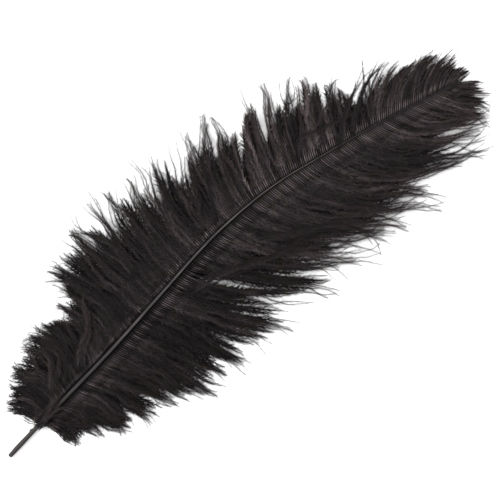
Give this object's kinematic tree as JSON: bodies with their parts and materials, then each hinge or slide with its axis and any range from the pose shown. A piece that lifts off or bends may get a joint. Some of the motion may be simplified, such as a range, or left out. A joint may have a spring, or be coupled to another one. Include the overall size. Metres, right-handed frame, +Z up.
{
  "type": "ostrich feather",
  "caption": "Soft ostrich plume lying flat: a bowed horny shaft with a cut quill and a broad vane of loose drooping barbs on each side.",
  "frame": {"origin": "on the surface the plume lies on, under the middle of its plan box", "axes": "+X along the feather from the cut quill to the tip, +Y towards the left vane, which is the wider one, +Z up from the surface"},
  "size_m": [0.3318, 0.1266, 0.0115],
  "materials": {
    "shaft_horn": "dyed feather horn, satin, a little paler along its ridge",
    "barbs": "black dyed down, soft sheen along the barbs"
  },
  "bodies": {
    "root": {"shaft": "shaft_horn", "vane_left": "barbs", "vane_right": "barbs"}
  },
  "joints": []
}
